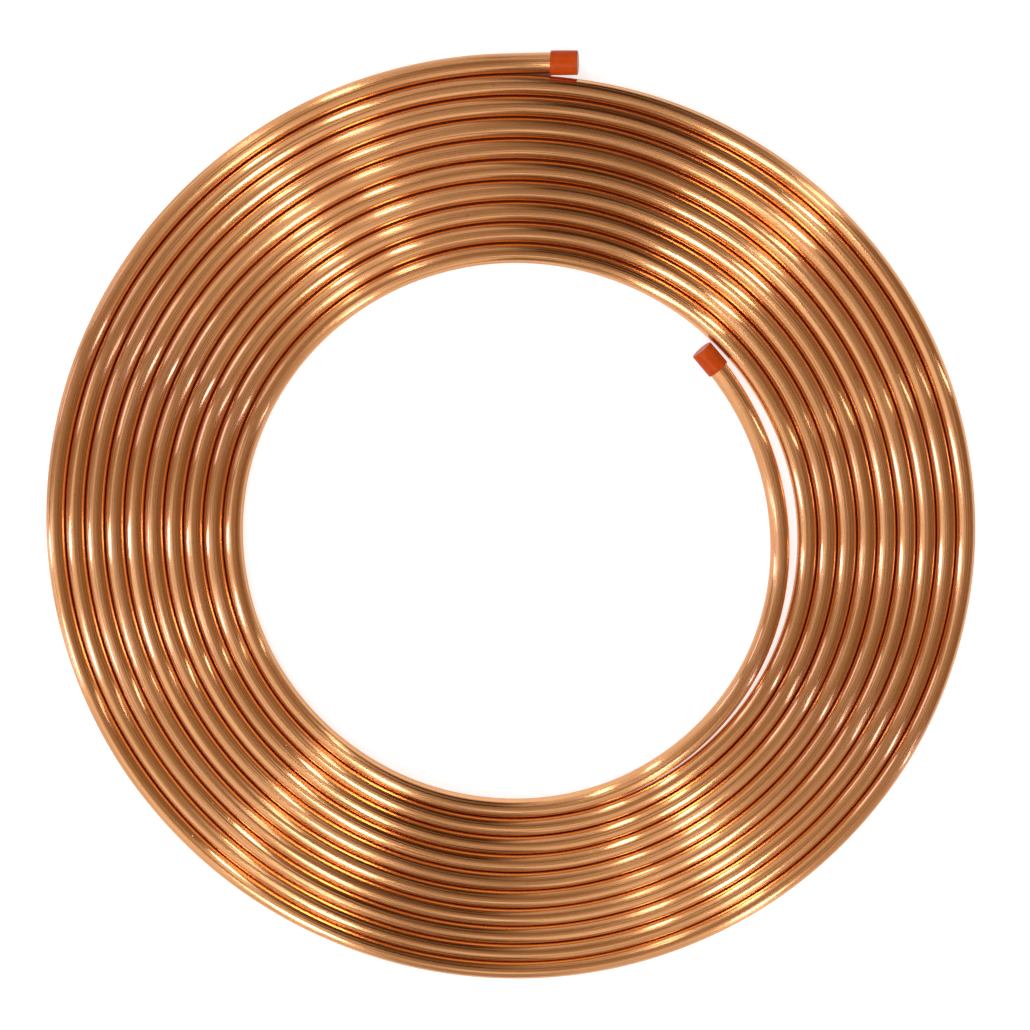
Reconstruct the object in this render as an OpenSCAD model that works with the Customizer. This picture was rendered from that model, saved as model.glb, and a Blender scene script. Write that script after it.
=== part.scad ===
// Flat coil of soft copper tube: one length of tube wound in a single layer,
// lying on its side, with a slip-on cap over each end of the tube.
// The origin is under the middle of the coil, on the surface that it lies on.

/* [Tube] */
// Outside diameter of the tube
tube_od = 12.7; // [6:0.1:22]
// Thickness of the tube's wall
tube_wall = 0.8; // [0.5:0.05:1.5]

/* [Coil] */
// Whole turns, counted from the outer end to where the last half turn starts
turns = 9; // [2:1:14]
// Clear width of the eye inside the last half turn
eye_d = 359.4; // [240:0.1:600]
// Clear gap between one turn and the next
turn_gap = 0.3; // [0.1:0.05:2]

/* [Ends] */
// Length of the outer end past its half turn, up to the end of the tube
outer_length = 48.4; // [30:0.1:120]
// Clear gap between the loose inner end and the turn beside it, a quarter turn on
tail_gap = 5.1; // [3:0.1:20]
// How far the inner end runs past that quarter turn, in degrees
tail_angle = 41.5; // [35:0.5:60]
// Clear gap between the inner cap and the turn beside it
cap_gap = 1.2; // [0.5:0.1:3]
// Clear height of the outer cap's mouth above the surface that the coil lies on
cap_height = 0.5; // [0.1:0.1:3]

/* [Caps] */
// Length of a cap over its closed end
cap_length = 17; // [12:0.5:25]
// Thickness of a cap's side wall
cap_wall = 1; // [0.6:0.1:2]
// Thickness of a cap's closed end
cap_end = 1.5; // [0.8:0.1:3]
// Radius on the rim of a cap's closed end
cap_round = 0.5; // [0.2:0.1:0.8]
// Clear gap between the tube and the bore of a cap, all round
cap_clearance = 0.15; // [0.1:0.05:0.3]
// Clear gap between the end of the tube and the floor of a cap
cap_seat = 0.3; // [0.1:0.1:1]

/* [Hidden] */
$fn = 72;

// Radii and centres are kept to a hundredth, so that the end faces of neighbouring bends are the same
function hundredth(x) = round(x * 100) / 100;

tube_r = tube_od / 2;
pitch = hundredth(tube_od + turn_gap);
eye_bend = hundredth((eye_d + tube_od) / 2);
cap_bore_r = tube_r + cap_clearance;
cap_r = cap_bore_r + cap_wall;
// Length of tube inside a cap
cap_hold = cap_length - cap_end - cap_seat;

// The tube winds inwards in half turns that meet on the Y axis. The left halves share one centre,
// the right halves share a second one half a pitch lower, and each half is half a pitch tighter.
right_centre = -pitch / 2;
function left_bend(turn) = eye_bend + (turns - turn) * pitch;
function right_bend(turn) = left_bend(turn) - pitch / 2;

// The inner end first bends tighter, which opens the gap, and then straightens towards the last turn
tail_bend = hundredth(right_bend(turns - 1) - tube_od - tail_gap);
tail_centre = tail_bend - eye_bend;
// Radius of the last stretch, at which the tube's end stops short of the turn beside it by the cap's gap
end_reach = right_bend(turns - 1) - tube_r - cap_gap - cap_r;
end_start = [tail_bend * cos(tail_angle), tail_centre - right_centre + tail_bend * sin(tail_angle)];
end_step = [cos(tail_angle) - 1, sin(tail_angle)];
end_half = end_start * end_step / (end_step * end_step);
end_rest = (end_start * end_start - end_reach * end_reach) / (end_step * end_step);
end_bend = hundredth(tail_bend - end_half + sqrt(end_half * end_half - end_rest));

// A cap is wider than the tube, so both ends spring up a little from the level of the coil: the outer end
// in a bend that leans in over the turn beside it, the inner end in a bend that is tilted about its start
cap_lift = cap_r - tube_r;
// The sine and the cosine of this lean both end after three decimals, 0.352 and 0.936
outer_lean = asin(0.352);
outer_rise = cap_lift + cap_height;
outer_bend = hundredth(pow(outer_length - cap_hold, 2) * cos(outer_lean) / (2 * outer_rise));
outer_angle = outer_length / outer_bend * 180 / PI;
// The sine and the cosine of this tilt both end after five decimals, 0.07584 and 0.99712
tail_tilt = asin(0.07584);

// How far the outer cap stands out past the tube, and from that where the middle of the left halves lies,
// seen from the middle of the whole coil
cap_past_tube = max(0, cap_lift - outer_rise * tan(outer_lean));
coil_place = [hundredth(pitch / 4), -hundredth(cap_past_tube / 2), tube_r];

module section() {
    difference() {
        circle(r = tube_r);
        circle(r = tube_r - tube_wall);
    }
}

// A bend of the tube about the origin, counter-clockwise from the given direction
module bend(radius, from, sweep) {
    rotate([0, 0, from])
        rotate_extrude(angle = sweep)
            translate([radius, 0])
                section();
}

// Puts its children in the leaning plane of the outer end, around the middle of its bend
module outer_frame() {
    translate([0, left_bend(0), 0])
        rotate([outer_lean, 0, 0])
            translate([0, 0, outer_bend])
                rotate([90, 0, 0])
                    children();
}

// Puts its children in the tilted plane of the inner end, around the middle of its last bend
module inner_frame() {
    translate([tail_bend, tail_centre, 0])
        rotate([0, tail_tilt, 0])
            translate([-end_bend, 0, 0])
                children();
}

module copper_tube() {
    color([0.72, 0.45, 0.26])
        translate(coil_place) {
            outer_frame()
                bend(outer_bend, 270, outer_angle);
            bend(left_bend(0), 90, 180);
            for (turn = [0 : turns - 1]) {
                translate([0, right_centre, 0])
                    bend(right_bend(turn), 270, 180);
                bend(left_bend(turn + 1), 90, 180);
            }
            translate([0, tail_centre, 0])
                bend(tail_bend, 270, 90);
            inner_frame()
                bend(end_bend, 0, tail_angle);
        }
}

// A cup with a rounded rim, along +Z with its mouth at the origin
module cap() {
    color([0.80, 0.27, 0.04])
        rotate_extrude()
            difference() {
                union() {
                    square([cap_r, cap_length - cap_round]);
                    square([cap_r - cap_round, cap_length]);
                    translate([cap_r - cap_round, cap_length - cap_round])
                        circle(r = cap_round);
                }
                square([cap_bore_r, cap_length - cap_end]);
            }
}

// A cap is straight and the tube in it bends a little, so it sits along the middle of that stretch,
// which ends at the given angle of a bend about the origin
module cap_on_bend(radius, end_angle) {
    hold_angle = cap_hold / radius * 180 / PI;
    sag = radius * (1 - cos(hold_angle / 2));
    rotate([0, 0, end_angle - hold_angle / 2])
        translate([radius - sag / 2, -cap_hold / 2, 0])
            rotate([-90, 0, 0])
                cap();
}

module outer_end_cap() {
    translate(coil_place)
        outer_frame()
            cap_on_bend(outer_bend, 270 + outer_angle);
}

module inner_end_cap() {
    translate(coil_place)
        inner_frame()
            cap_on_bend(end_bend, tail_angle);
}

copper_tube();
outer_end_cap();
inner_end_cap();
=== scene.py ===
import math

import bpy
import numpy as np
from mathutils import Matrix, Vector


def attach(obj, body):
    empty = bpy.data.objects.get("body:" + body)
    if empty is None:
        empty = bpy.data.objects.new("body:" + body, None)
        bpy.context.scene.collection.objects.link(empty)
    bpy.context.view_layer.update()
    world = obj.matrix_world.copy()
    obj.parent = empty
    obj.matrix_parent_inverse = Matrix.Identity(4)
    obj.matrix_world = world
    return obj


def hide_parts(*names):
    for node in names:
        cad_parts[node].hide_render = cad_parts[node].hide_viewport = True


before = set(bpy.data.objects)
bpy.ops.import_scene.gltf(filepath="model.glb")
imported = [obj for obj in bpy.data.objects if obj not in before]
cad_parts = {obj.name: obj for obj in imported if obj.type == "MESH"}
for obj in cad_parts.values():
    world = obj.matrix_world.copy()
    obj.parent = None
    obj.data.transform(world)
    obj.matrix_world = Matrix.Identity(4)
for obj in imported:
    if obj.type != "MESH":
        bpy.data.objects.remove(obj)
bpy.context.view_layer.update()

# Sizes of the tube and the coil, in metres
TUBE_OD = 0.0127
TUBE_WALL = 0.0008
TURNS = 9
EYE_D = 0.3594
TURN_GAP = 0.0003

# Sizes of the two ends and their caps
OUTER_LENGTH = 0.0484
TAIL_GAP = 0.0051
TAIL_ANGLE = math.radians(41.5)
TAIL_TILT = math.asin(0.07584)
OUTER_LEAN = math.asin(0.352)
CAP_GAP = 0.0012
CAP_HEIGHT = 0.0005
CAP_LENGTH = 0.017
CAP_WALL = 0.001
CAP_END = 0.0015
CAP_CLEARANCE = 0.00015
CAP_SEAT = 0.0003
CAP_ROUND = 0.0007
CAP_LIP = 0.0003
CAP_DRAFT = 0.00008

# Values that follow from those sizes
TUBE_R = TUBE_OD / 2
PITCH = TUBE_OD + TURN_GAP
EYE_BEND = (EYE_D + TUBE_OD) / 2
CAP_BORE_R = TUBE_R + CAP_CLEARANCE
CAP_R = CAP_BORE_R + CAP_WALL
CAP_HOLD = CAP_LENGTH - CAP_END - CAP_SEAT
CAP_LIFT = CAP_R - TUBE_R
OUTER_RISE = CAP_LIFT + CAP_HEIGHT
CAP_PAST_TUBE = CAP_LIFT - OUTER_RISE * math.tan(OUTER_LEAN)
COIL_MIDDLE = np.array([PITCH / 4, -CAP_PAST_TUBE / 2, TUBE_R])

# How finely the tube and the caps are cut
RING_SPACING = 0.0064
TUBE_SIDES = 28
INNER_RING_STEP = 3
CAP_SIDES = 72

# Points on a cap's side and flat end, as shares of its length and radius, that keep its shading even
CAP_SIDE_POINTS = (0.15, 0.5)
CAP_TOP_POINTS = (0.6, 0.3)

# In the map for baked pictures the outer wall of the tube is cut into rows, one above another. The bore and
# the end cuts are squeezed into the strip above them, in bands that are given as shares of its height.
BAKE_ROWS = 19
BAKE_MARGIN = 0.001
BAKE_WALL_TOP = 0.97
BAKE_BORE = (0.2, 0.6)
BAKE_CUTS = (0.8, 0.9)

# How far the hand-wound turns stray from the true spiral, and how far from the tube's ends they start to
STRAY_SEED = 11
STRAY_SIDE = 0.00011
STRAY_LIFT = 0.00028
STRAY_WAVES = [0.13, 0.21, 0.34, 0.55]
STRAY_FROM = 0.048
STRAY_FADE = 0.16

# Colours of the copper, as linear red, green and blue
COPPER_BRIGHT = (0.78, 0.392, 0.176, 1)
COPPER_DULL = (0.70, 0.333, 0.138, 1)
COPPER_LINE = (0.58, 0.255, 0.100, 1)
# Painted reflection: a brighter golden colour on flanks that face a neighbouring turn, standing in for light
# bounced between the turns
COPPER_PAINTED_REFLECTION = (0.95, 0.550, 0.240, 1)
# Painted shade: dark red deep in the gaps where the turns face each other
COPPER_PAINTED_GAP_SHADE = (0.50, 0.140, 0.040, 1)
COPPER_PIT = (0.40, 0.160, 0.060, 1)

# Roughness of the bright metal where it is clean and where it is toned, and of the drawn lines in it. The
# lines spread light across the tube, a quarter turn from the direction along it.
BRIGHT_ROUGHNESS = (0.12, 0.16)
LINE_ROUGHNESS = 0.37
QUARTER_TURN = 0.25

# Patterns on the copper: how often they change in a metre along and across the tube, detail, roughness
DRAWN_LINES = ((3, 1200, 1200), 2, 0.6)
FLUTES = ((2.5, 380, 380), 1, 0.5)
TARNISH = ((9, 60, 60), 3, 0.55)
PITS = ((500, 700, 700), 0, 0.5)

# Values of a pattern between which its colour, roughness or relief comes in, and how much of a colour does
TARNISH_TONE = (0.35, 0.68)
TARNISH_ROUGH = (0.3, 0.7)
LINE_TONE = (0.42, 0.66)
LINE_SHARE = 0.65
LINE_ROUGH = (0.49, 0.56)
LINE_RELIEF = (0.58, 0.84)
PIT_TONE = (0.82, 0.86)
PIT_SHARE = 0.6

# Depth of the copper's fine relief, in metres
SCRATCH_DEPTH = 0.000006
FLUTE_DEPTH = 0.00002
PIT_DEPTH = 0.00002

# Where the finish changes towards a gap between two turns, as angles from the crown of the tube: the drawn
# lines fade, a brighter golden painted reflection of the neighbouring turn comes in, and a dark painted shade
# line lies where the turns face each other. It comes in over a length of tube where a neighbouring turn
# begins.
LINES_FADE = (math.radians(38), math.radians(52))
PAINTED_REFLECTION_FADE = (math.radians(45), math.radians(65))
PAINTED_SHADE_FADE = (math.radians(70), math.radians(84))
NEIGHBOUR_FADE = 0.05

# Plastic of the caps: its colours where it is darker, lighter and scuffed, its shine, its patterns as on the
# copper, the values between which they come in, and the depth of their relief
CAP_DARK = (0.49, 0.053, 0.001, 1)
CAP_LIGHT = (0.56, 0.066, 0.002, 1)
CAP_SCUFFED = (0.64, 0.092, 0.006, 1)
CAP_ROUGHNESS = (0.28, 0.38)
CAP_SPECULAR = 0.12
CLOUDS = ((220, 220, 220), 3, 0.55)
SCUFFS = ((160, 1500, 1500), 2, 0.6)
GRAIN = ((3000, 3000, 3000), 2, 0.5)
CLOUD_TONE = (0.35, 0.65)
CLOUD_ROUGH = (0.3, 0.7)
SCUFF_TONE = (0.62, 0.75)
SCUFF_SHARE = 0.3
CLOUD_DEPTH = 0.00004
GRAIN_DEPTH = 0.000003

# Light goes to and fro many times in the narrow gaps between bright turns
MIRROR_BOUNCES = 8

# The floor glows where it is open, so that it reads as white, and more so far away, where the lamps don't
# reach. Under the coil its glow gives way to painted shade, with a dim copper-red painted glow that stands in
# for the light the turns send down to it.
FLOOR_HALF = 12.0
FLOOR_DROP = 0.00005
FLOOR_PAINT = (0.5, 0.5, 0.5, 1)
FLOOR_GLOW = (0.72, 0.72, 0.72, 1)
FAR_GLOW = (1, 1, 1, 1)
FAR_FROM = 0.6
FAR_TO = 2.5
UNDER_COIL_PAINTED_GLOW = (0.07, 0.013, 0.004, 1)
GLOW_FADE = 0.0015

# Even light all round, and the height, as a share of straight up, below which it gives way to a white horizon
SKY_COLOUR = (0.44, 0.345, 0.26, 1)
HORIZON = (0.11, 0.08)
HORIZON_COLOUR = (1, 1, 1, 1)

# Dimmer sides of that light, in degrees: azimuth, half width, zenith angle where it starts, colour
SHADE_BLUR = 5.0
SHADES = [
    (64, 45, 4, (0.31, 0.225, 0.155, 1)),
    (-12, 32, 28, (0.31, 0.205, 0.125, 1)),
    (70, 16, 20, (0.07, 0.032, 0.013, 1)),
    (-97, 6, 58, (0.11, 0.058, 0.028, 1)),
]

# Soft boxes and lamps: name, azimuth, zenith angle, width and height in degrees, brightness, colour
LAMP_DISTANCE = 4.0
WHITE = (0.90, 1.0, 1.10)
COOL = (0.82, 0.96, 1.55)
LAMPS = [
    ("left_wide", -147, 52, 54, 60, 0.80, WHITE),
    ("front_wide", -77, 50, 30, 48, 0.70, WHITE),
    ("front_gap", -98, 36, 12, 36, 0.42, WHITE),
    ("front_right_wide", -50, 64, 18, 42, 0.30, WHITE),
    ("back_wide", 122, 60, 62, 52, 0.55, WHITE),
    ("left_glow", 155, 66, 10, 20, 1.9, COOL),
    ("back_glow", 169, 66, 9, 20, 1.9, COOL),
    ("left_low", -171, 61, 4, 20, 11, COOL),
    ("left", -156, 54, 5, 22, 8, COOL),
    ("front_left", -113, 35, 6, 26, 13, WHITE),
    ("front_right", -66, 49, 6, 24, 10, WHITE),
    ("right_front", -40, 58, 2, 24, 7, COOL),
    ("right_low", 9, 56, 2, 24, 6.5, WHITE),
    ("right_back", 38, 45, 5, 24, 12, WHITE),
    ("back", 114, 50, 5, 26, 9, WHITE),
    ("back_left", 128, 60, 4, 24, 8, WHITE),
]

# The photograph's view: almost straight down, tilted a little, with the coil turned a little in the frame
VIEW_AIM = Vector((0.00386, 0.01585, 0.00635))
VIEW_DISTANCE = 0.988
VIEW_TILT = math.radians(9.426)
VIEW_LEAN = math.radians(-0.322)
VIEW_ROLL = math.radians(2.0)

# Width and focal length of the photograph in its pixels, and the width of the camera's sensor in millimetres
PHOTO_WIDTH = 1030
PHOTO_FOCAL = 1500
SENSOR = 36.0

X = np.array([1.0, 0.0, 0.0])
Y = np.array([0.0, 1.0, 0.0])
Z = np.array([0.0, 0.0, 1.0])


def left_bend(turn):
    return EYE_BEND + (TURNS - turn) * PITCH


def right_bend(turn):
    return left_bend(turn) - PITCH / 2


def bend(middle, along, across, radius, start, sweep):
    """Evenly spaced points on a bend in the plane of two axes, without its last point."""
    count = max(2, round(radius * abs(sweep) / RING_SPACING))
    angles = start + sweep * np.arange(count) / count
    spokes = np.outer(np.cos(angles), along) + np.outer(np.sin(angles), across)
    return middle + radius * spokes


def tail_bend():
    return right_bend(TURNS - 1) - TUBE_OD - TAIL_GAP


def last_bend():
    """Radius of the inner end's last stretch, at which its cap just clears the turn beside it."""
    tail = tail_bend()
    reach = right_bend(TURNS - 1) - TUBE_R - CAP_GAP - CAP_R
    turn = np.array([math.cos(TAIL_ANGLE), math.sin(TAIL_ANGLE)])
    start = tail * turn + np.array([0, tail - EYE_BEND + PITCH / 2])
    step = turn - np.array([1, 0])
    half = start @ step / (step @ step)
    rest = (start @ start - reach**2) / (step @ step)
    return tail - half + math.sqrt(half**2 - rest)


def centreline():
    """Points along the middle of the tube, from its outer end to its inner end."""
    half_turn = math.pi
    top = math.pi / 2
    bottom = -math.pi / 2
    leaning = math.cos(OUTER_LEAN) * Z - math.sin(OUTER_LEAN) * Y
    outer = (OUTER_LENGTH - CAP_HOLD) ** 2 * math.cos(OUTER_LEAN) / (2 * OUTER_RISE)
    outer_angle = OUTER_LENGTH / outer
    outer_middle = left_bend(0) * Y + outer * leaning
    stretches = [bend(outer_middle, X, leaning, outer, bottom + outer_angle, -outer_angle)]
    stretches.append(bend(0 * X, X, Y, left_bend(0), top, half_turn))
    for turn in range(TURNS):
        stretches.append(bend(-PITCH / 2 * Y, X, Y, right_bend(turn), bottom, half_turn))
        stretches.append(bend(0 * X, X, Y, left_bend(turn + 1), top, half_turn))
    tail = tail_bend()
    tail_middle = (tail - EYE_BEND) * Y
    stretches.append(bend(tail_middle, X, Y, tail, bottom, top))
    end = last_bend()
    tilted = math.cos(TAIL_TILT) * X - math.sin(TAIL_TILT) * Z
    end_middle = tail_middle + tail * X - end * tilted
    stretches.append(bend(end_middle, tilted, Y, end, 0, TAIL_ANGLE))
    tip = end_middle + end * (math.cos(TAIL_ANGLE) * tilted + math.sin(TAIL_ANGLE) * Y)
    stretches.append(tip[None])
    return np.concatenate(stretches) + COIL_MIDDLE


def lengths_along(points):
    steps = np.linalg.norm(np.diff(points, axis=0), axis=1)
    return np.concatenate([[0], np.cumsum(steps)])


def unit(vectors):
    return vectors / np.linalg.norm(vectors, axis=-1, keepdims=True)


def wander(rng, along):
    """A smooth value between -1 and 1 along the tube, made of a few long waves."""
    total = 0 * along
    for wave in STRAY_WAVES:
        total = total + np.sin(2 * math.pi * along / wave + rng.uniform(0, 2 * math.pi))
    return total / len(STRAY_WAVES)


def stray(points):
    """The centreline with the small sideways and upward waves of a tube that was wound by hand."""
    rng = np.random.default_rng(STRAY_SEED)
    along = lengths_along(points)
    from_end = np.minimum(along, along[-1] - along)
    fade = np.clip((from_end - STRAY_FROM) / STRAY_FADE, 0, 1)[:, None]
    side = unit(np.cross(unit(np.gradient(points, axis=0)), Z))
    sideways = STRAY_SIDE * wander(rng, along)[:, None] * side
    upward = STRAY_LIFT * (1 + wander(rng, along))[:, None] * Z
    return points + fade * (sideways + upward)


def tube_rings(points, radius):
    """Rings of points round the centreline, starting at the underside of the tube."""
    ahead = unit(np.gradient(points, axis=0))
    side = unit(np.cross(ahead, Z))
    up = np.cross(side, ahead)
    turn = -math.pi / 2 + 2 * math.pi * np.arange(TUBE_SIDES) / TUBE_SIDES
    round_tube = np.cos(turn)[:, None] * side[:, None] + np.sin(turn)[:, None] * up[:, None]
    return points[:, None] + radius * round_tube


def wall_faces(rings, first, outward):
    """Quads between neighbouring rings, with their places along and round the tube."""
    ring, step = np.meshgrid(np.arange(rings - 1), np.arange(TUBE_SIDES), indexing="ij")
    corners = [(0, 0), (1, 0), (1, 1), (0, 1)]
    if not outward:
        corners.reverse()
    faces = []
    places = []
    for ahead, aside in corners:
        faces.append(first + (ring + ahead) * TUBE_SIDES + (step + aside) % TUBE_SIDES)
        places.append(np.stack([ring + ahead, step + aside], -1))
    return np.stack(faces, -1).reshape(-1, 4), np.stack(places, 2).reshape(-1, 4, 2)


def end_faces(outer_first, inner_first, outward):
    """The flat cut at one end of the tube, between its outer and its inner ring."""
    step = np.arange(TUBE_SIDES)
    after = (step + 1) % TUBE_SIDES
    corners = [outer_first + step, outer_first + after, inner_first + after, inner_first + step]
    if not outward:
        corners.reverse()
    return np.stack(corners, -1)


def new_piece(name, points, faces, maps):
    """A smooth mesh object with its named UV maps. The one named surface holds places on it in metres."""
    mesh = bpy.data.meshes.new(name)
    mesh.from_pydata(points.tolist(), [], faces)
    for map_name, places in maps.items():
        layer = mesh.uv_layers.new(name=map_name)
        layer.data.foreach_set("uv", np.array(places, np.float32).ravel())
    mesh.polygons.foreach_set("use_smooth", np.ones(len(mesh.polygons), bool))
    mesh.update()
    piece = bpy.data.objects.new(name, mesh)
    bpy.context.scene.collection.objects.link(piece)
    return piece


def bake_places(outer, inner, cuts, along):
    """Places in a square picture: the outer wall in rows, the bore and the end cuts in a thin strip."""
    per_row = math.ceil((len(along) - 1) / BAKE_ROWS)
    row = outer[..., 0].min(axis=1, keepdims=True) // per_row
    reach = along[outer[..., 0]] - along[row * per_row]
    girth = math.pi * TUBE_OD
    rise = row * (girth + BAKE_MARGIN) + outer[..., 1] * girth / TUBE_SIDES
    wall = np.stack([reach / reach.max(), BAKE_WALL_TOP * rise / rise.max()], -1)

    def in_strip(places, bottom, top):
        strip = 1 - BAKE_WALL_TOP
        shares = places / places.max(axis=(0, 1))
        return shares * [1, (top - bottom) * strip] + [0, BAKE_WALL_TOP + bottom * strip]

    return np.concatenate([wall, in_strip(inner, *BAKE_BORE), in_strip(cuts, *BAKE_CUTS)])


def copper_tube(points):
    """The whole tube as one closed hollow mesh."""
    inner_points = points[::INNER_RING_STEP]
    if (len(points) - 1) % INNER_RING_STEP:
        inner_points = np.concatenate([inner_points, points[-1:]])
    outer = tube_rings(points, TUBE_R)
    inner = tube_rings(inner_points, TUBE_R - TUBE_WALL)
    inner_first = len(outer) * TUBE_SIDES
    outer_faces, outer_places = wall_faces(len(outer), 0, True)
    inner_faces, inner_places = wall_faces(len(inner), inner_first, False)
    last_outer = (len(outer) - 1) * TUBE_SIDES
    last_inner = inner_first + (len(inner) - 1) * TUBE_SIDES
    starts = end_faces(0, inner_first, True)
    ends = end_faces(last_outer, last_inner, False)
    faces = np.concatenate([outer_faces, inner_faces, starts, ends])

    along = lengths_along(points)
    inner_along = lengths_along(inner_points)
    around = math.pi * TUBE_OD / TUBE_SIDES

    def measured(places, lengths):
        return np.stack([lengths[places[..., 0]], places[..., 1] * around], -1)

    corner = np.array([(0, 0), (1, 0), (1, 1), (0, 1)])
    cuts = np.arange(len(starts) + len(ends))[:, None, None] * [1, 0] + corner
    maps = {
        "surface": np.concatenate(
            [measured(outer_places, along), measured(inner_places, inner_along), 0 * cuts]
        ),
        "OFBake": bake_places(outer_places, inner_places, cuts, along),
    }
    vertices = np.concatenate([outer.reshape(-1, 3), inner.reshape(-1, 3)])
    return new_piece("drawn_tube", vertices, faces.tolist(), maps)


def quarter_round(middle_r, middle_z, radius, start, steps=6):
    angles = np.radians(start + np.linspace(0, 90, steps))
    return [(middle_r + radius * math.cos(a), middle_z + radius * math.sin(a)) for a in angles]


def cap_profile():
    """Half section of a cap as radius and height above its mouth, from the floor of its bore outwards."""
    bore_end = CAP_LENGTH - CAP_END
    tip_r = CAP_R - CAP_DRAFT
    lip = CAP_LIP
    profile = [(0.0, bore_end), (CAP_BORE_R / 2, bore_end), (CAP_BORE_R - lip, bore_end)]
    profile += [(CAP_BORE_R, bore_end - lip), (CAP_BORE_R, CAP_LENGTH / 2)]
    profile += quarter_round(CAP_BORE_R + lip, lip, lip, 180)
    profile += quarter_round(CAP_R - lip, lip, lip, 270)
    profile += [(CAP_R, CAP_LENGTH * share) for share in CAP_SIDE_POINTS]
    profile += quarter_round(tip_r - CAP_ROUND, CAP_LENGTH - CAP_ROUND, CAP_ROUND, 0, steps=9)
    profile += [(tip_r * share, CAP_LENGTH) for share in CAP_TOP_POINTS]
    profile.append((0.0, CAP_LENGTH))
    return np.array(profile)


def cap_place(points, at_start):
    """Where a cap sits: along the chord of the tube's last stretch, half way between chord and tube."""
    ordered = points[::-1] if at_start else points
    to_end = lengths_along(ordered)
    to_end = to_end[-1] - to_end

    def point_at(distance):
        order = np.argsort(to_end)
        return np.array([np.interp(distance, to_end[order], ordered[order, i]) for i in range(3)])

    tip = point_at(0)
    mouth = point_at(CAP_HOLD)
    axis = unit(tip - mouth)
    middle = (point_at(CAP_HOLD / 2) + (tip + mouth) / 2) / 2
    side = unit(np.cross(axis, Z))
    up = np.cross(side, axis)
    return middle - axis * CAP_HOLD / 2, side, up, axis


def end_cap(name, points, at_start):
    """A moulded cap turned round the end of the tube."""
    mouth, side, up, axis = cap_place(points, at_start)
    profile = cap_profile()
    middle_rows = profile[1:-1]
    rows = len(middle_rows)
    turn = 2 * math.pi * np.arange(CAP_SIDES) / CAP_SIDES
    spokes = np.cos(turn)[:, None] * side + np.sin(turn)[:, None] * up
    vertices = [mouth + r * spokes + z * axis for r, z in middle_rows]
    vertices.append((mouth + profile[0][1] * axis)[None])
    vertices.append((mouth + profile[-1][1] * axis)[None])
    vertices = np.concatenate(vertices)
    floor_point = rows * CAP_SIDES
    faces = []
    places = []
    around = 2 * math.pi * CAP_R / CAP_SIDES
    along = lengths_along(profile)
    for row in range(rows - 1):
        for step in range(CAP_SIDES):
            after = (step + 1) % CAP_SIDES
            low = row * CAP_SIDES
            high = low + CAP_SIDES
            faces.append([low + step, low + after, high + after, high + step])
            near, far = along[row + 1], along[row + 2]
            places += [[near, step * around], [near, (step + 1) * around]]
            places += [[far, (step + 1) * around], [far, step * around]]
    last = (rows - 1) * CAP_SIDES
    for step in range(CAP_SIDES):
        after = (step + 1) % CAP_SIDES
        faces.append([floor_point, after, step])
        faces.append([floor_point + 1, last + step, last + after])
        places += [[along[0], step * around]] * 3
        places += [[along[-1], step * around]] * 3
    return new_piece(name, vertices, faces, {"surface": places})


class Nodes:
    """Short helper that adds and links the nodes of one material or world."""

    def __init__(self, owner):
        owner.use_nodes = True
        self.tree = owner.node_tree
        self.tree.nodes.clear()

    def add(self, kind, **values):
        node = self.tree.nodes.new(kind)
        for name, value in values.items():
            setattr(node, name, value)
        return node

    def link(self, source, target):
        if isinstance(source, bpy.types.NodeSocket):
            self.tree.links.new(source, target)
        else:
            target.default_value = source

    def math(self, operation, first, second=0.0):
        node = self.add("ShaderNodeMath", operation=operation)
        self.link(first, node.inputs[0])
        self.link(second, node.inputs[1])
        return node.outputs[0]

    def span(self, value, low, high, to_low=0.0, to_high=1.0):
        node = self.add("ShaderNodeMapRange")
        for socket, part in zip(node.inputs, [value, low, high, to_low, to_high]):
            self.link(part, socket)
        return node.outputs[0]

    def mix(self, factor, first, second):
        node = self.add("ShaderNodeMix", data_type="RGBA")
        self.link(factor, node.inputs["Factor"])
        colours = [s for s in node.inputs if s.type == "RGBA"]
        self.link(first, colours[0])
        self.link(second, colours[1])
        return [s for s in node.outputs if s.type == "RGBA"][0]

    def pick(self, factor, first, second):
        node = self.add("ShaderNodeMix", data_type="FLOAT")
        for socket, part in zip(node.inputs, [factor, None, first, second]):
            if part is not None:
                self.link(part, socket)
        return node.outputs[0]

    def noise(self, place, stretch, detail, rough):
        mapping = self.add("ShaderNodeMapping")
        self.link(place, mapping.inputs["Vector"])
        mapping.inputs["Scale"].default_value = stretch
        node = self.add("ShaderNodeTexNoise")
        self.link(mapping.outputs[0], node.inputs["Vector"])
        node.inputs["Scale"].default_value = 1.0
        node.inputs["Detail"].default_value = detail
        node.inputs["Roughness"].default_value = rough
        return node.outputs[0]

    def principled(self, colour, roughness, relief):
        """The material's only shader, with its relief as a height in metres."""
        bump = self.add("ShaderNodeBump")
        self.link(relief, bump.inputs["Height"])
        bump.inputs["Distance"].default_value = 1.0
        bump.inputs["Strength"].default_value = 1.0
        shader = self.add("ShaderNodeBsdfPrincipled")
        self.link(colour, shader.inputs["Base Color"])
        self.link(roughness, shader.inputs["Roughness"])
        self.link(bump.outputs[0], shader.inputs["Normal"])
        output = self.add("ShaderNodeOutputMaterial")
        self.link(shader.outputs[0], output.inputs["Surface"])
        return shader


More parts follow.
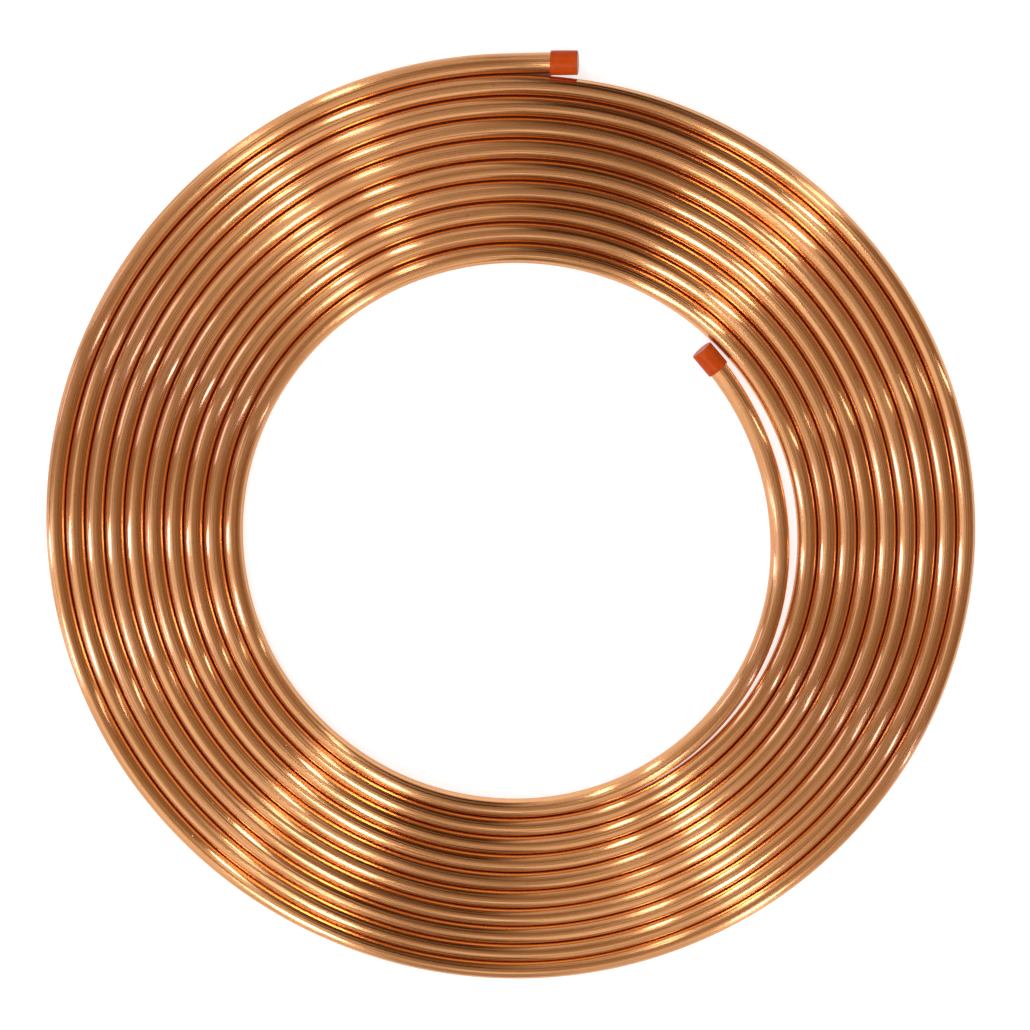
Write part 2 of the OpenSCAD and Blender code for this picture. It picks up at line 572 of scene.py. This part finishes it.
def rolled_place(nodes, radius):
    """Place on a straightened tube, which closes round it without a seam."""
    surface = nodes.add("ShaderNodeUVMap", uv_map="surface")
    parts = nodes.add("ShaderNodeSeparateXYZ")
    nodes.link(surface.outputs[0], parts.inputs[0])
    angle = nodes.math("DIVIDE", parts.outputs[1], radius)
    place = nodes.add("ShaderNodeCombineXYZ")
    nodes.link(parts.outputs[0], place.inputs[0])
    nodes.link(nodes.math("MULTIPLY", nodes.math("COSINE", angle), radius), place.inputs[1])
    nodes.link(nodes.math("MULTIPLY", nodes.math("SINE", angle), radius), place.inputs[2])
    return place.outputs[0]


def copper_finish(length):
    """Bright drawn copper with fine lines along it, a golden painted reflection on the flanks and a dark
    painted shade line between the turns.
    """
    material = bpy.data.materials.new("drawn_copper")
    nodes = Nodes(material)
    place = rolled_place(nodes, TUBE_R)
    lines = nodes.noise(place, *DRAWN_LINES)
    flutes = nodes.noise(place, *FLUTES)
    tarnish = nodes.noise(place, *TARNISH)
    pits = nodes.noise(place, *PITS)
    parts = nodes.add("ShaderNodeSeparateXYZ")
    nodes.link(place, parts.inputs[0])
    along, upright, outward = parts.outputs
    from_side = nodes.math("ABSOLUTE", upright)

    # The outermost and the innermost turn have no turn beside them on one side
    outer_turn = OUTER_LENGTH + math.pi * (left_bend(0) + right_bend(0))
    inner_turn = length - 2 * math.pi * EYE_BEND
    turn_outside = nodes.span(along, outer_turn - NEIGHBOUR_FADE, outer_turn + NEIGHBOUR_FADE)
    turn_inside = nodes.span(along, inner_turn + NEIGHBOUR_FADE, inner_turn - NEIGHBOUR_FADE)
    faced = nodes.pick(nodes.math("GREATER_THAN", outward, 0.0), turn_inside, turn_outside)

    def towards_gap(fade):
        near_side = nodes.span(from_side, *[TUBE_R * math.cos(angle) for angle in fade])
        return nodes.math("MULTIPLY", near_side, faced)

    colour = nodes.mix(nodes.span(tarnish, *TARNISH_TONE), COPPER_BRIGHT, COPPER_DULL)
    colour = nodes.mix(nodes.span(lines, *LINE_TONE, 0.0, LINE_SHARE), colour, COPPER_LINE)
    # Painted light between the turns: a golden painted reflection on the flanks, then a dark painted shade
    # line deep in the gap
    colour = nodes.mix(towards_gap(PAINTED_REFLECTION_FADE), colour, COPPER_PAINTED_REFLECTION)
    # Painted shade: dark red deep in the gap, where the turns face each other
    colour = nodes.mix(towards_gap(PAINTED_SHADE_FADE), colour, COPPER_PAINTED_GAP_SHADE)
    pitted = nodes.span(pits, *PIT_TONE, 0.0, PIT_SHARE)
    colour = nodes.mix(pitted, colour, COPPER_PIT)

    roughness = nodes.span(tarnish, *TARNISH_ROUGH, *BRIGHT_ROUGHNESS)
    drawn = nodes.math("SUBTRACT", nodes.span(lines, *LINE_ROUGH), towards_gap(LINES_FADE))
    roughness = nodes.pick(drawn, roughness, LINE_ROUGHNESS)

    relief = nodes.math("MULTIPLY", nodes.span(lines, *LINE_RELIEF), SCRATCH_DEPTH)
    relief = nodes.math("ADD", relief, nodes.math("MULTIPLY", flutes, FLUTE_DEPTH))
    relief = nodes.math("SUBTRACT", relief, nodes.math("MULTIPLY", pitted, PIT_DEPTH))

    shader = nodes.principled(colour, roughness, relief)
    shader.inputs["Metallic"].default_value = 1.0
    shader.inputs["Anisotropic"].default_value = 1.0
    shader.inputs["Anisotropic Rotation"].default_value = QUARTER_TURN
    tangent = nodes.add("ShaderNodeTangent", direction_type="UV_MAP", uv_map="surface")
    nodes.link(tangent.outputs[0], shader.inputs["Tangent"])
    return material


def cap_finish():
    """Satin orange plastic with a faint cloudiness and a fine moulded grain."""
    material = bpy.data.materials.new("orange_cap_plastic")
    nodes = Nodes(material)
    place = rolled_place(nodes, CAP_R)
    clouds = nodes.noise(place, *CLOUDS)
    scuffs = nodes.noise(place, *SCUFFS)
    grain = nodes.noise(place, *GRAIN)
    colour = nodes.mix(nodes.span(clouds, *CLOUD_TONE), CAP_DARK, CAP_LIGHT)
    colour = nodes.mix(nodes.span(scuffs, *SCUFF_TONE, 0.0, SCUFF_SHARE), colour, CAP_SCUFFED)
    roughness = nodes.span(clouds, *CLOUD_ROUGH, *CAP_ROUGHNESS)
    relief = nodes.math("MULTIPLY", clouds, CLOUD_DEPTH)
    relief = nodes.math("ADD", relief, nodes.math("MULTIPLY", grain, GRAIN_DEPTH))
    shader = nodes.principled(colour, roughness, relief)
    shader.inputs["Specular IOR Level"].default_value = CAP_SPECULAR
    return material


def add_floor():
    """A wide pale floor that reads as white, keeps the coil's soft shadow and has painted shade under the
    coil.
    """
    half = FLOOR_HALF
    corners = [(-half, -half, 0), (half, -half, 0), (half, half, 0), (-half, half, 0)]
    mesh = bpy.data.meshes.new("floor")
    mesh.from_pydata(corners, [], [(0, 1, 2, 3)])
    floor = bpy.data.objects.new("floor", mesh)
    floor.location.z = -FLOOR_DROP
    bpy.context.scene.collection.objects.link(floor)
    material = bpy.data.materials.new("white_floor")
    nodes = Nodes(material)
    light_path = nodes.add("ShaderNodeLightPath")
    seen = nodes.math("ADD", light_path.outputs["Is Camera Ray"], light_path.outputs["Is Glossy Ray"])
    seen = nodes.math("ADD", seen, light_path.outputs["Is Transmission Ray"])
    place = nodes.add("ShaderNodeTexCoord")
    parts = nodes.add("ShaderNodeSeparateXYZ")
    nodes.link(place.outputs["Object"], parts.inputs[0])
    on_right = nodes.math("GREATER_THAN", parts.outputs[0], COIL_MIDDLE[0] + OUTER_LENGTH - CAP_HOLD)
    left_half = (COIL_MIDDLE[1], left_bend(0), left_bend(TURNS))
    right_half = (COIL_MIDDLE[1] - PITCH / 2, right_bend(0), right_bend(TURNS - 1))
    halves = []
    for middle_y, outermost, innermost in (left_half, right_half):
        offset = nodes.add("ShaderNodeVectorMath", operation="DISTANCE")
        nodes.link(place.outputs["Object"], offset.inputs[0])
        offset.inputs[1].default_value = (COIL_MIDDLE[0], middle_y, 0)
        away = offset.outputs["Value"]
        past_coil = nodes.span(away, outermost, outermost + GLOW_FADE)
        in_eye = nodes.span(away, innermost, innermost - GLOW_FADE)
        halves.append(nodes.math("MAXIMUM", past_coil, in_eye))
    open_floor = nodes.pick(on_right, *halves)
    glow = nodes.add("ShaderNodeEmission")
    # Painted shade under the coil, where the floor shows only a dim copper-red painted glow
    colour = nodes.mix(open_floor, UNDER_COIL_PAINTED_GLOW, FLOOR_GLOW)
    colour = nodes.mix(nodes.span(away, FAR_FROM, FAR_TO), colour, FAR_GLOW)
    nodes.link(colour, glow.inputs["Color"])
    nodes.link(seen, glow.inputs["Strength"])
    paint = nodes.add("ShaderNodeBsdfDiffuse")
    paint.inputs["Color"].default_value = FLOOR_PAINT
    both = nodes.add("ShaderNodeAddShader")
    nodes.link(glow.outputs[0], both.inputs[0])
    nodes.link(paint.outputs[0], both.inputs[1])
    output = nodes.add("ShaderNodeOutputMaterial")
    nodes.link(both.outputs[0], output.inputs["Surface"])
    mesh.materials.append(material)


def direction(azimuth, zenith):
    """Unit vector towards a point of the sky, both angles in degrees."""
    a = math.radians(azimuth)
    z = math.radians(zenith)
    return Vector((math.sin(z) * math.cos(a), math.sin(z) * math.sin(a), math.cos(z)))


def add_lamps():
    """Area lamps on a wide dome, turned to the coil and as large as the angles at which it sees them."""
    for name, azimuth, zenith, width, height, brightness, colour in LAMPS:
        lamp = bpy.data.lights.new(name, "AREA")
        lamp.shape = "RECTANGLE"
        lamp.size = 2 * LAMP_DISTANCE * math.tan(math.radians(width / 2)) * math.sin(math.radians(zenith))
        lamp.size_y = 2 * LAMP_DISTANCE * math.tan(math.radians(height / 2))
        lamp.energy = brightness * math.pi * lamp.size * lamp.size_y
        lamp.color = colour
        holder = bpy.data.objects.new(name, lamp)
        towards = direction(azimuth, zenith)
        holder.location = towards * LAMP_DISTANCE
        holder.rotation_euler = towards.to_track_quat("Z", "Y").to_euler()
        holder.visible_camera = False
        bpy.context.scene.collection.objects.link(holder)


def add_sky():
    """Even soft light from above, with dimmer sides and a pale horizon."""
    world = bpy.data.worlds.new("studio")
    bpy.context.scene.world = world
    nodes = Nodes(world)
    place = nodes.add("ShaderNodeTexCoord")
    towards = place.outputs["Generated"]
    parts = nodes.add("ShaderNodeSeparateXYZ")
    nodes.link(towards, parts.inputs[0])
    height = parts.outputs[2]
    level_ground = nodes.add("ShaderNodeVectorMath", operation="MULTIPLY")
    nodes.link(towards, level_ground.inputs[0])
    level_ground.inputs[1].default_value = (1, 1, 0)
    bearing = nodes.add("ShaderNodeVectorMath", operation="NORMALIZE")
    nodes.link(level_ground.outputs[0], bearing.inputs[0])
    level = SKY_COLOUR
    for azimuth, half_width, zenith, colour in SHADES:
        facing = nodes.add("ShaderNodeVectorMath", operation="DOT_PRODUCT")
        nodes.link(bearing.outputs[0], facing.inputs[0])
        facing.inputs[1].default_value = direction(azimuth, 90)
        edge = math.cos(math.radians(half_width + SHADE_BLUR))
        core = math.cos(math.radians(half_width - SHADE_BLUR))
        beside = nodes.span(facing.outputs["Value"], edge, core)
        top = math.cos(math.radians(zenith - SHADE_BLUR))
        full = math.cos(math.radians(zenith + SHADE_BLUR))
        below = nodes.span(height, top, full)
        level = nodes.mix(nodes.math("MULTIPLY", beside, below), level, colour)
    level = nodes.mix(nodes.span(height, *HORIZON), level, HORIZON_COLOUR)
    sky = nodes.add("ShaderNodeBackground")
    nodes.link(level, sky.inputs["Color"])
    output = nodes.add("ShaderNodeOutputWorld")
    nodes.link(sky.outputs[0], output.inputs["Surface"])


def add_camera():
    """A camera at the photograph's viewing angle."""
    lens = bpy.data.cameras.new("camera")
    lens.sensor_width = SENSOR
    lens.lens = SENSOR * PHOTO_FOCAL / PHOTO_WIDTH
    tilt = Matrix.Rotation(VIEW_TILT, 3, "X") @ Matrix.Rotation(VIEW_LEAN, 3, "Y")
    turn = Matrix.Rotation(-VIEW_ROLL, 3, "Z") @ tilt.transposed()
    camera = bpy.data.objects.new("camera", lens)
    back = turn.col[2]
    camera.matrix_world = Matrix.Translation(VIEW_AIM + VIEW_DISTANCE * back) @ turn.to_4x4()
    bpy.context.scene.collection.objects.link(camera)
    bpy.context.scene.camera = camera


def finish_piece(piece, material, node):
    piece.data.materials.append(material)
    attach(piece, "root")
    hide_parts(node)


path = centreline()
copper = copper_finish(lengths_along(path)[-1])
plastic = cap_finish()
finish_piece(copper_tube(stray(path)), copper, "copper_tube")
finish_piece(end_cap("outer_cap", path, True), plastic, "outer_end_cap")
finish_piece(end_cap("inner_cap", path, False), plastic, "inner_end_cap")
add_floor()
add_lamps()
add_sky()
add_camera()
bpy.context.scene.cycles.glossy_bounces = MIRROR_BOUNCES
bpy.context.scene.view_settings.view_transform = "Standard"
